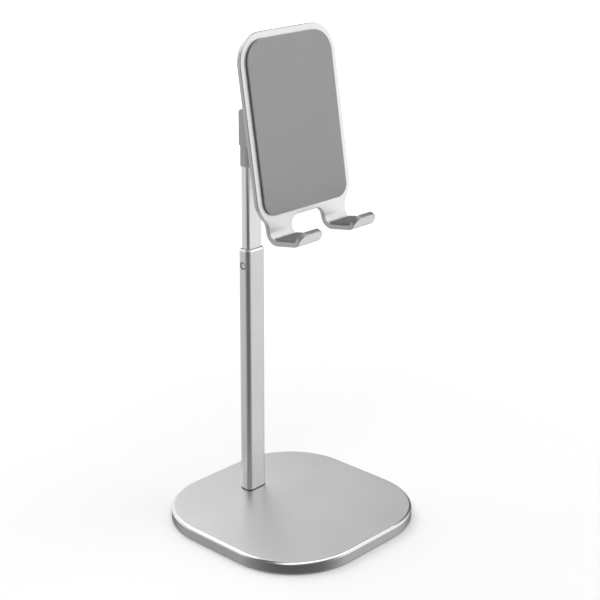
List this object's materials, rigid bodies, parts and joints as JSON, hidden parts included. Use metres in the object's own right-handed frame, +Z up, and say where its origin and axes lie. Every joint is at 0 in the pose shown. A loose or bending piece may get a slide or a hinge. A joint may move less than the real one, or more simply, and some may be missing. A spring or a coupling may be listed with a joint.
{
  "type": "phone stand",
  "caption": "Free-standing telescopic phone stand: weighted rounded square base, sliding rectangular post, friction tilt hinge and a padded holder plate with hooks and a cable slot.",
  "frame": {"origin": "middle of the base on the surface it stands on", "axes": "+Z up, the holder faces -Y, +X to the right seen from the front"},
  "size_m": [0.117, 0.117, 0.2685],
  "materials": {
    "base_aluminium": "fine bead-blasted anodised aluminium with a polished chamfer",
    "tube_aluminium": "satin anodised aluminium extrusion, drawn along its length",
    "plate_aluminium": "satin anodised aluminium sheet with bright edges",
    "plug_aluminium": "machined aluminium",
    "weight_steel": "zinc-plated steel plate",
    "screw_steel": "nickel-plated steel",
    "spring_bronze": "phosphor bronze strip",
    "foot_rubber": "matt black rubber with a fine texture",
    "gasket_rubber": "black rubber",
    "nylon": "natural nylon",
    "grey_plastic": "moulded mid grey plastic with a fine spark texture",
    "pad_silicone": "matt grey silicone",
    "hook_silicone": "matt grey silicone"
  },
  "bodies": {
    "base": {"base_cover": "base_aluminium", "base_weight": "weight_steel", "foot_pad": "foot_rubber", "weight_screws": "screw_steel", "post_bolts": "screw_steel", "foot_plug": "plug_aluminium", "foot_gasket": "gasket_rubber", "outer_tube": "tube_aluminium", "guide_liner": "nylon"},
    "mast": {"inner_tube": "tube_aluminium", "guide_shoe": "nylon", "shoe_pin": "screw_steel", "friction_spring": "spring_bronze", "neck_collar": "grey_plastic", "hinge_arm": "grey_plastic", "arm_screw": "screw_steel", "arm_cap": "grey_plastic"},
    "head": {"hinge_bracket": "grey_plastic", "hinge_pin": "screw_steel", "hinge_nut": "screw_steel", "hinge_washers": "nylon", "bracket_screws": "screw_steel", "holder_plate": "plate_aluminium", "plate_pad": "pad_silicone", "hook_pad_left": "hook_silicone", "hook_pad_right": "hook_silicone"}
  },
  "joints": [
    {"name": "height_slide", "type": "slide", "parent": "base", "child": "mast", "axis": [0, 0, 1], "range_m": [-0.045, 0.015]},
    {"name": "head_tilt", "type": "hinge", "parent": "mast", "child": "head", "pos_m": [0, 0.0105, 0.214], "axis": [-1, 0, 0], "range_deg": [-14.5, 70.5]}
  ]
}
